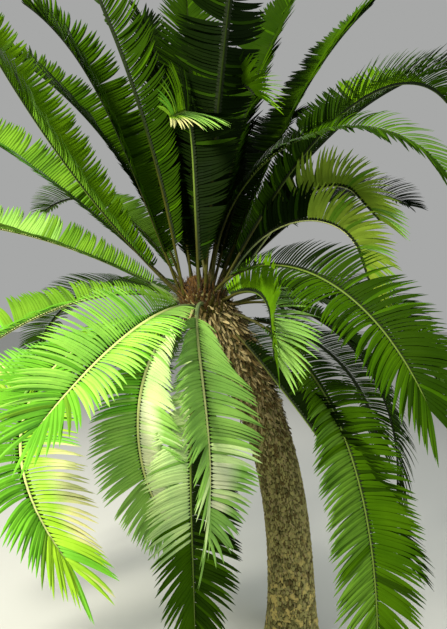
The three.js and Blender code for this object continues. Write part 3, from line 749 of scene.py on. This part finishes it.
def rib_tubes(fronds, rings, around, stout):
    """A shape of ribs, a rounded section, flatter above, carried along each, and its points' shares along.

    The stalks keep their width, and beyond them it grows by the factor stout.
    """
    s = np.linspace(0.0, 1.0, rings) ** 1.15
    angle = 2 * np.pi * np.arange(around) / around
    over = np.where(np.sin(angle) > 0, 0.8, 1.15) * np.sin(angle)
    bodies = []
    for frond in fronds:
        middle, _, side, up = rib_line(frond, s)
        half_width, half_height = rib_halves(frond, s)
        half_width = half_width * blend(1, stout, smooth(0.05, 0.25, s))
        across = side[:, None] * (half_width[:, None] * np.cos(angle))[..., None]
        rising = up[:, None] * (half_height[:, None] * over)[..., None]
        bodies.append(middle[:, None] + across + rising)
    return tubes(np.array(bodies), rings, around), np.tile(np.repeat(s, around), len(fronds))


def straps(root, out, along, across, length, width, thickness, curl):
    """A shape of short flat straps that leave a surface along out and bend towards along.

    The middle at share u is root + length (u out (1 - curl u / 2) + u^2 along curl / 2). The width
    narrows a little to a blunt end, and no point lies under the ground.
    """
    u = np.array([0, 0.3, 0.62, 0.9, 1.0])[:, None]
    wide = np.array([0.85, 1.0, 0.92, 0.7, 0.4])[:, None] * width[:, None, None] / 2
    thick = np.array([1.0, 0.9, 0.75, 0.6, 0.35])[:, None] * thickness[:, None, None] / 2
    bend = curl[:, None, None]
    way = u * out[:, None] * (1 - bend * u / 2) + u * u * along[:, None] * bend / 2
    middle = root[:, None] + length[:, None, None] * way
    heading = unit(out[:, None] * (1 - bend * u) + along[:, None] * bend * u)
    over = np.cross(heading, across[:, None])
    corners = [(-1, -0.6), (1, -0.6), (0.8, 0.7), (-0.8, 0.7)]
    points = np.stack([middle + across[:, None] * wide * a - over * thick * b for a, b in corners], 2)
    points[..., 2] = np.maximum(points[..., 2], STRAP_LOWEST)
    return tubes(points, u.size, len(corners), flipped=True)


def flake_cells(x, y, random):
    """Irregular cells round the trunk: a lattice square holds one seed, a point belongs to the nearest.

    Gives how far the point is from a border, from 0 to 1, the cell's own random level, and how far the
    point lies below the seed, from 0 to 1. The nine squares round the point are searched.
    """
    seeds = random.uniform(0.05, 0.95, (2, FLAKES_ALONG + 2, FLAKES_AROUND))
    levels = random.uniform(0, 1, (FLAKES_ALONG + 2, FLAKES_AROUND))
    column = np.floor(x).astype(int)[..., None] + np.repeat((-1, 0, 1), 3)
    row = np.clip(np.floor(y).astype(int), 0, FLAKES_ALONG)[..., None] + np.tile((-1, 0, 1), 3)
    cell = (np.clip(row, 0, FLAKES_ALONG + 1), column % FLAKES_AROUND)
    beside = x[..., None] - column - seeds[0][cell]
    below = row + seeds[1][cell] - y[..., None]
    apart = np.hypot(beside, below)
    order = np.argsort(apart, -1)
    gaps = np.diff(np.take_along_axis(apart, order[..., :2], -1))[..., 0]
    level, below = [np.take_along_axis(each, order[..., :1], -1)[..., 0] for each in (levels[cell], below)]
    return smooth(0.0, 0.3, gaps), level, np.clip(0.5 + below, 0, 1)


def metres(name, text, default, low, high):
    """A length of the palm, in metres."""
    return FloatProperty(name=name, description=text, default=default, min=low, max=high, unit="LENGTH")


def factor(name, text, default, low, high):
    """A share or factor, without a unit."""
    return FloatProperty(name=name, description=text, default=default, min=low, max=high, subtype="FACTOR")


def paint(name, text, *shown):
    """A colour as the eye reads it on a scale to 255, kept linear: ((c / 255 + 0.055) / 1.055)^2.4."""
    linear = [((channel / 255 + 0.055) / 1.055) ** 2.4 for channel in shown]
    return FloatVectorProperty(name=name, description=text, default=linear, min=0, max=1, subtype="COLOR")


class PalmSizes(PropertyGroup):
    """Sizes that shape the visible palm."""

    leaflet_length: metres("Leaflet length", "Length of a full-grown leaflet", 0.255, 0.1, 0.4)
    leaflet_pitch: metres("Leaflet pitch", "Distance between two along the rib", 0.0155, 0.01, 0.05)
    leaflet_width: factor("Leaflet width", "Share of the full 25 millimetres", 0.82, 0.3, 2)
    leaflet_bow: factor("Leaflet bow", "Its curve to the frond's tip, a share of it", 0.045, 0, 0.2)
    leaflet_sag: factor("Leaflet sag", "How far its tip hangs, a share of its length", 0.05, 0, 0.3)
    bark_relief: metres("Bark relief", "Height of the bark's flakes", 0.009, 0, 0.03)
    longest_base: metres("Longest leaf base", "Length of those under the crown", 0.085, 0.02, 0.15)
    rib_sides: IntProperty(name="Rib sides", description="Faces round a rib", default=8, min=4, max=16)


class PalmColours(PropertyGroup):
    """Colours of ribs, bark and wool, and of the leaves, one for each tint; many carry painted sunlight and
    shade.
    """

    # Painted shade in the gaps between the leaflets' roots
    pad: paint("Root gaps", "The dark dots between the leaflets' roots", 24, 36, 10)
    # Stalks and ribs in lit and shaded copies: the front and pale ones carry painted sunlight, the shaded
    # ones painted shade
    front_petiole: paint("Front petioles", "Bare stalks at the front", 90, 110, 66)
    pale_rib: paint("Pale ribs", "Ribs of the sunlit fronds", 198, 206, 128)
    shaded_petiole: paint("Shaded petioles", "Bare stalks in the shade", 62, 62, 20)
    green_rib: paint("Green ribs", "Ribs of the shaded fronds", 96, 118, 44)
    # Painted deep shade on the ribs inside the crown
    dark_rib: paint("Dark ribs", "Ribs inside the crown", 30, 44, 6)
    tan_bark: paint("Tan bark", "Raised bark", 132, 128, 78)
    # Painted shade in the bark's hollows
    dark_bark: paint("Dark bark", "Hollows of the bark", 34, 31, 12)
    # Painted sunlight in patches near the foot
    pale_bark: paint("Pale bark", "Patches near the foot", 204, 186, 112)
    dry_base: paint("Dry leaf bases", "The palest old leaf bases", 158, 144, 100)
    brown_base: paint("Brown leaf bases", "The darker old leaf bases", 96, 82, 45)
    wool: paint("Wool", "The heart's orange-brown wool", 98, 64, 20)
    dark_wool: paint("Dark wool", "Shade inside the heart", 42, 31, 9)
    olive_wool: paint("Olive wool", "Wool low on the crown's shoulder", 74, 70, 18)


# Leaf colours, one for each tint, which paint the sun and shade on the leaves into their colour
for tint, (where, shown, _) in TINTS.items():
    title = f"{tint.capitalize()} leaves"
    PalmColours.__annotations__[tint] = paint(title, f"Leaves {where}", *shown)


# The bark's mesh and its flakes, how much of their height comes from their level and their slope, and over
# what shares of the trunk's height they fade out at its foot and its tip
BARK_RINGS = 470
BARK_AROUND = 190
FLAKES_AROUND = 60
FLAKES_ALONG = 74
FLAKE_LOW = 0.3
FLAKE_LEVEL = 0.4
FLAKE_SLOPE = 0.4
BARK_LEVEL = 0.45
BARK_FOOT = 0.004
BARK_TIP = 0.012


class MakeTrunk(Operator):
    """Make the trunk's bark"""

    bl_idname = "bread_palm.make_trunk"
    bl_label = "Trunk"

    def execute(self, context):
        """The skin plus flakes as high as their cells say, higher at their lower ends, with gaps between."""
        sizes = context.scene.palm_sizes
        colours = context.scene.palm_colours
        t, angle = grid(np.linspace(0, 1, BARK_RINGS), BARK_AROUND)
        around = angle / (2 * np.pi) * FLAKES_AROUND
        gap, level, below = flake_cells(around, t * FLAKES_ALONG, np.random.default_rng(SEED))
        relief = np.clip(gap * (FLAKE_LOW + FLAKE_LEVEL * level + FLAKE_SLOPE * below), 0, 1)
        ends = smooth(0, BARK_FOOT, t) * smooth(0, BARK_TIP, 1 - t)
        points, _ = trunk_surface(t, angle, sizes.bark_relief * (relief - BARK_LEVEL) * ends)
        points[0, :, 2] = 0.0
        shape = tubes(points, BARK_RINGS, BARK_AROUND)
        material = bark_finish("bark", colours.tan_bark, colours.dark_bark, colours.pale_bark)
        values = {"relief": relief, "flake": level}
        add_piece("trunk_bark", shape, material, ["trunk"], values, smooth_faces=True)
        return {"FINISHED"}


# The dry leaf bases: first and last level as shares of the height and the step between rows, how many stand
# round the trunk, how far they stray in radians and in shares of the height, between which shares they grow,
# and their sizes in metres low on the trunk and under the crown
BASE_LEVELS = (0.012, 0.978, 0.0085)
BASES_AROUND = 34
BASE_STRAY = (0.06, 0.004)
BASE_GROWTH = (0.45, 0.97)
BASE_SUNK = 0.002
SHORT_BASE = 0.022
BASE_WIDTHS = (0.009, 0.0135)
BASE_THICKNESSES = (0.004, 0.006)
STRAP_LOWEST = 0.002

# By how many degrees they lean sideways and stand off the trunk, and how much more under the crown, and what
# share of them is pale low down and high up
BASE_LEAN = 24
BASE_OPENING = (10, 22)
BASE_OPENING_GROWTH = 20
PALE_BASES = (0.35, 0.6)


class MakeLeafBases(Operator):
    """Make the dry leaf bases that clothe the trunk"""

    bl_idname = "bread_palm.make_leaf_bases"
    bl_label = "Leaf bases"

    def execute(self, context):
        """Straps on a staggered lattice that leave the bark and hang, long under the crown, short below."""
        sizes = context.scene.palm_sizes
        colours = context.scene.palm_colours
        random = np.random.default_rng(SEED + 1)
        level = np.arange(*BASE_LEVELS)
        count = len(level) * BASES_AROUND
        row, column = np.divmod(np.arange(count), BASES_AROUND)
        angle = 2 * np.pi * (column + 0.5 * (row % 2)) / BASES_AROUND
        angle = angle + random.normal(0, BASE_STRAY[0], count)
        t = np.clip(level[row] + random.normal(0, BASE_STRAY[1], count), 0.01, 0.985)
        root, outward = trunk_surface(t, angle, -BASE_SUNK)
        direction, _, _ = trunk_frame(t)
        across = np.cross(direction, outward)
        grown = smooth(*BASE_GROWTH, t)
        length = blend(SHORT_BASE, sizes.longest_base, grown**1.3) * random.uniform(0.6, 1.25, count)
        width = blend(*BASE_WIDTHS, grown) * random.uniform(0.7, 1.3, count)
        thickness = blend(*BASE_THICKNESSES, grown) * random.uniform(0.8, 1.2, count)
        lean = np.radians(random.normal(0, BASE_LEAN, count))
        down = swing(-direction, across, lean)
        sideways = swing(across, direction, lean)
        opening = random.uniform(*BASE_OPENING, count) + BASE_OPENING_GROWTH * grown
        out = swing(down, outward, np.radians(opening))
        curl = random.uniform(-0.1, 0.35, count)
        pale = random.uniform(0, 1, count) < blend(*PALE_BASES, smooth(0.5, 0.95, t))
        columns = (root, out, down, sideways, length, width, thickness, curl)
        for name, chosen, colour in (
            ("leaf_bases_pale", pale, colours.dry_base),
            ("leaf_bases_brown", ~pale, colours.brown_base),
        ):
            shape = straps(*[column[chosen] for column in columns])
            # The leaf bases near the foot get the painted sun patches too
            add_piece(name, shape, base_finish(name, colour, colours.pale_bark), ["trunk"])
        return {"FINISHED"}


# The heart's bud, its scales on a spiral of golden turns in radians, which open by degrees, and its fibres.
# Depths go from the trunk's shoulder to above its tip, where a cone has a low and a high radius and a height
BUD_RINGS = 40
BUD_AROUND = 60
BUD_SUNK = 0.004
SCALES = 330
GOLDEN_TURN = 2.39996
SCALE_DEPTHS = (0.135, -0.052)
SCALE_CONE = (0.070, 0.012, 0.052)
SCALE_LENGTHS = (0.058, 0.040)
SCALE_WIDTHS = (0.019, 0.010)
SCALE_THICKNESS = 0.004
SCALE_OPENINGS = (58, 12)
SCALE_DRYNESS = 0.12
FIBRES = 2600
FIBRES_EACH = 42
FIBRE_DEPTHS = (0.13, -0.060)
FIBRE_CONE = (0.072, 0.03, 0.060)
FIBRE_SUNK = 0.002
FIBRE_LENGTHS = (0.012, 0.032)
FIBRE_WIDTH = 0.0014


def crown_root(turn, depth, cone, sunk=0.0):
    """A place round the crown, on the trunk's skin or the cone above its tip, and its way outward."""
    low, high, height = cone
    radius = np.where(depth > 0, trunk_radius(1 - depth / TRUNK_HEIGHT), blend(low, high, -depth / height))
    outward = round_crown(turn)
    middle = axis_point(1 - np.maximum(depth, 0) / TRUNK_HEIGHT) + CROWN * np.maximum(-depth, 0)[:, None]
    return middle + outward * (radius - sunk)[:, None], outward


def heart_bud():
    """A bud r(h) = R (1 - (h / H)^2.6)^0.5 with fine lumps from sines of the angle and the height."""
    h, angle = grid(np.linspace(0, 0.985, BUD_RINGS), BUD_AROUND)
    fine = np.sin(13 * angle + 9 * h) * np.sin(8 * angle - 31 * h) + 0.5 * np.sin(29 * angle + 47 * h)
    radius = HEART_RADIUS * np.sqrt(1 - h**2.6) * (1 + 0.035 * fine)
    middle = HEART_FOOT + CROWN * (h * HEART_HEIGHT - BUD_SUNK)[..., None]
    return tubes(middle + round_crown(angle) * radius[..., None], BUD_RINGS, BUD_AROUND)


def heart_scales(random):
    """What straps takes for scales that open wide low down and stand up at the tip, and which are low."""
    number = np.arange(SCALES) + 0.5
    share = number / SCALES
    depth = blend(*SCALE_DEPTHS, share)
    root, outward = crown_root(number * GOLDEN_TURN, depth, SCALE_CONE)
    opening = blend(*SCALE_OPENINGS, share) + random.normal(0, 8, SCALES)
    out = swing(CROWN, outward, np.radians(opening))
    length = blend(*SCALE_LENGTHS, share) * random.uniform(0.7, 1.25, SCALES)
    width = blend(*SCALE_WIDTHS, share) * random.uniform(0.8, 1.2, SCALES)
    low = random.uniform(0, 1, SCALES) < smooth(0.02, 0.11, depth)
    curl = random.uniform(0, 0.5, SCALES)
    across = np.cross(CROWN, outward)
    return (root, out, CROWN + 0 * out, across, length, width, SCALE_THICKNESS + 0 * width, curl), low


def heart_fibres(random):
    """A shape of short thin straps all over the heart and its shoulder, and round the petioles' feet."""
    turn = random.uniform(0, 2 * np.pi, FIBRES)
    depth = blend(*FIBRE_DEPTHS, random.uniform(0, 1, FIBRES))
    root, outward = crown_root(turn, depth, FIBRE_CONE, FIBRE_SUNK)
    out = outward * random.uniform(0.4, 1.2, FIBRES)[:, None] + CROWN + random.normal(0, 0.4, (FIBRES, 3))
    s = np.linspace(0.004, 0.055, FIBRES_EACH)
    feet = [(*rib_line(frond, s), *rib_halves(frond, s)) for frond in frond_list()]
    middle, tangent, side, up, half_width, half_height = [np.concatenate(column) for column in zip(*feet)]
    turn = random.uniform(0, 2 * np.pi, len(middle))[:, None]
    skin = side * np.cos(turn) * half_width[:, None] + up * np.sin(turn) * half_height[:, None]
    root = np.vstack([root, middle + skin * 0.9])
    out = np.vstack([unit(out), unit(unit(skin) + 1.4 * tangent + random.normal(0, 0.3, skin.shape))])
    outward = np.vstack([outward, unit(skin)])
    across = unit(np.cross(out, random.normal(0, 1, out.shape)))
    length = random.uniform(*FIBRE_LENGTHS, len(root))
    thin = np.full(len(root), FIBRE_WIDTH)
    return straps(root, out, outward, across, length, thin, thin, np.full(len(root), 0.6))


class MakeHeart(Operator):
    """Make the woolly heart with its scales and fibres"""

    bl_idname = "bread_palm.make_heart"
    bl_label = "Heart"

    def execute(self, context):
        colours = context.scene.palm_colours
        random = np.random.default_rng(SEED + 2)
        wool = wool_finish("wool", colours.wool, colours.dark_wool)
        add_piece("heart_bud", heart_bud(), wool, ["crown_heart"], smooth_faces=True)
        columns, low = heart_scales(random)
        dry_wool = blend(np.array(colours.wool), np.array(colours.dry_base), SCALE_DRYNESS)
        for name, chosen, colour in (
            ("heart_scales", ~low, dry_wool),
            ("shoulder_scales", low, colours.olive_wool),
        ):
            shape = straps(*[column[chosen] for column in columns])
            add_piece(name, shape, base_finish(name, colour), ["crown_heart"])
        add_piece("heart_fibres", heart_fibres(random), wool, ["crown_heart"])
        return {"FINISHED"}


def nodes_of(fronds):
    """Names of the CAD nodes of these fronds, the two halves of a split one among them."""
    names = []
    for frond in fronds:
        start = f"frond_{frond.name}"
        names += [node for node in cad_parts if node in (start, f"{start}_inner", f"{start}_outer")]
    return names


class MakeRibs(Operator):
    """Make the petioles and ribs of all fronds"""

    bl_idname = "bread_palm.make_ribs"
    bl_label = "Ribs"

    def execute(self, context):
        sizes = context.scene.palm_sizes
        colours = context.scene.palm_colours
        fronds = frond_list()
        pale = [frond for frond in fronds if frond.name in PALE_RIBS]
        dark = [frond for frond in fronds if frond.tint in DARK_TINTS]
        green = [frond for frond in fronds if frond not in pale and frond not in dark]
        # Three copies of the rib colours: painted sunlight, painted half shade and painted deep shade
        for name, slot, petiole, rib, chosen, stout, gloss in (
            ("ribs_pale", "frond_sunlit", colours.front_petiole, colours.pale_rib, pale, 1.35, 0.25),
            ("ribs_green", "frond_shaded", colours.shaded_petiole, colours.green_rib, green, 1.0, 0.12),
            ("ribs_dark", "frond_shaded", colours.shaded_petiole, colours.dark_rib, dark, 1.0, 0.04),
        ):
            shape, along = rib_tubes(chosen, RIB_RINGS, sizes.rib_sides, stout)
            material = rib_finish(name, petiole, rib, gloss)
            add_piece(name, shape, material, nodes_of(chosen), {"along": along}, smooth_faces=True)
        return {"FINISHED"}


class MakeLeaflets(Operator):
    """Make the leaflets of all fronds, each tint apart"""

    bl_idname = "bread_palm.make_leaflets"
    bl_label = "Leaflets"

    def execute(self, context):
        sizes = context.scene.palm_sizes
        colours = context.scene.palm_colours
        random = np.random.default_rng(SEED + 3)
        fronds = frond_list()
        dealt = []
        for number, frond in enumerate(fronds):
            rows = leaflet_rows(frond, sizes.leaflet_length, sizes.leaflet_pitch, random)
            tint = tint_rows(frond, rows[6], rows[7], random)
            dealt.append((*rows, tint, np.full(len(tint), number)))
        *rows, tint, owner = [np.concatenate(column) for column in zip(*dealt)]
        for index, name in enumerate(TINT_NAMES):
            slot, gloss = ("frond_sunlit", 0.14) if name in PALE_TINTS else ("frond_shaded", 0.01)
            shown = [tuple(getattr(colours, key)) for key in FADING_TINTS.get(name, (name,))]
            places = np.flatnonzero(tint == index)
            lots = -(-len(places) // MOST_LEAFLETS)
            for lot, chosen in enumerate(np.array_split(places, lots), 1):
                piece = f"leaflets_{name}_{lot}"
                picked = [column[chosen] for column in rows]
                shape = leaflet_blades(picked, sizes.leaflet_bow, sizes.leaflet_sag, sizes.leaflet_width)
                nodes = nodes_of([fronds[number] for number in np.unique(owner[chosen])])
                values = {"along": np.tile(np.repeat(OUTLINE_SHARES, 3), len(chosen))}
                add_piece(piece, shape, leaf_finish(piece, shown, gloss), nodes, values)
        # Dark wedges of painted shade between the leaflets' roots
        root_shadow_finish = base_finish("leaflet_pads", colours.pad)
        add_piece("leaflet_pads", leaflet_pads(rows), root_shadow_finish, nodes_of(fronds))
        return {"FINISHED"}


# The photograph's viewpoint: a level camera's place, and its focal length in picture heights
CAMERA_PLACE = (-0.4185, -3.100, 2.018)
FOCAL_IN_HEIGHTS = 500 / 629
SENSOR_HEIGHT = 24.0
CAMERA_RANGE = (0.05, 200.0)

# The floor's reach, rings and colour, the sky's colour and strength, and where the lamps aim, with each
# lamp's place, size, energy and colour
FLOOR_RADIUS = 60
FLOOR_RINGS = 12
FLOOR_AROUND = 48
FLOOR_COLOUR = (0.62, 0.63, 0.60, 1.0)
SKY_COLOUR = (0.84, 0.85, 0.84, 1.0)
SKY_STRENGTH = 0.46
LAMP_AIM = (-0.5, -0.3, 2.0)
LAMPS = {
    "key": ((-4.2, -4.6, 6.2), 1.6, 1000, (1.0, 0.95, 0.82)),
    "fill": ((4.5, -3.5, 3.5), 4.0, 110, (0.90, 0.96, 1.0)),
    "back": ((0.5, 4.5, 6.0), 3.0, 130, (1.0, 1.0, 0.92)),
}


def make_floor():
    """A disc: rings of points r = R (k / K)^2, so that it runs level out to the horizon, open at its rim."""
    share, angle = grid((np.arange(1, FLOOR_RINGS + 1) / FLOOR_RINGS) ** 2, FLOOR_AROUND)
    points = FLOOR_RADIUS * share[..., None] * np.stack([np.cos(angle), np.sin(angle), 0 * angle], -1)
    points, quads, triangles = tubes(points, FLOOR_RINGS, FLOOR_AROUND, flipped=True)
    mesh = fill_mesh("floor", points, quads, triangles[: FLOOR_AROUND - 2])
    finish = Finish("floor", Roughness=0.9, Specular_IOR_Level=0.2, Base_Color=FLOOR_COLOUR)
    mesh.materials.append(finish.material)
    floor = put("floor", mesh)


class MakeStage(Operator):
    """Make the floor, the lights and the camera"""

    bl_idname = "bread_palm.make_stage"
    bl_label = "Stage"

    def execute(self, context):
        scene = context.scene
        make_floor()
        world = bpy.data.worlds.new("studio")
        world.use_nodes = True
        back = world.node_tree.nodes["Background"]
        back.inputs["Color"].default_value = SKY_COLOUR
        back.inputs["Strength"].default_value = SKY_STRENGTH
        scene.world = world
        scene.view_settings.view_transform = "Standard"
        for name, (place, size, energy, colour) in LAMPS.items():
            data = bpy.data.lights.new(name, "AREA")
            data.size = size
            data.energy = energy
            data.color = colour
            lamp = put(name, data)
            lamp.location = place
            towards = Vector(LAMP_AIM) - Vector(place)
            lamp.rotation_euler = towards.to_track_quat("-Z", "Y").to_euler()
        lens = bpy.data.cameras.new("camera")
        lens.sensor_fit = "VERTICAL"
        lens.sensor_height = SENSOR_HEIGHT
        lens.lens = SENSOR_HEIGHT * FOCAL_IN_HEIGHTS
        lens.clip_start, lens.clip_end = CAMERA_RANGE
        camera = put("camera", lens)
        camera.location = CAMERA_PLACE
        camera.rotation_euler = (math.radians(90), 0.0, 0.0)
        scene.camera = camera
        return {"FINISHED"}


class PalmPanel(Panel):
    """Lists the palm's pieces in the 3D view's sidebar"""

    bl_idname = "VIEW3D_PT_bread_palm"
    bl_label = "Bread Palm"
    bl_space_type = "VIEW_3D"
    bl_region_type = "UI"
    bl_category = "Bread Palm"

    def draw(self, context):
        layout = self.layout
        for settings in (context.scene.palm_sizes, context.scene.palm_colours):
            box = layout.box()
            for key in settings.__annotations__:
                box.prop(settings, key)
        for operator in OPERATORS:
            layout.operator(operator.bl_idname)


OPERATORS = (MakeTrunk, MakeLeafBases, MakeHeart, MakeRibs, MakeLeaflets, MakeStage)
CLASSES = (PalmSizes, PalmColours, *OPERATORS, PalmPanel)


def register():
    for entry in CLASSES:
        bpy.utils.register_class(entry)
    bpy.types.Scene.palm_sizes = PointerProperty(type=PalmSizes)
    bpy.types.Scene.palm_colours = PointerProperty(type=PalmColours)


def unregister():
    del bpy.types.Scene.palm_colours
    del bpy.types.Scene.palm_sizes
    for entry in reversed(CLASSES):
        bpy.utils.unregister_class(entry)


def main():
    register()
    bpy.ops.bread_palm.make_stage()
    bpy.ops.bread_palm.make_trunk()
    bpy.ops.bread_palm.make_leaf_bases()
    bpy.ops.bread_palm.make_heart()
    bpy.ops.bread_palm.make_ribs()
    bpy.ops.bread_palm.make_leaflets()


if __name__ == "__main__":
    main()
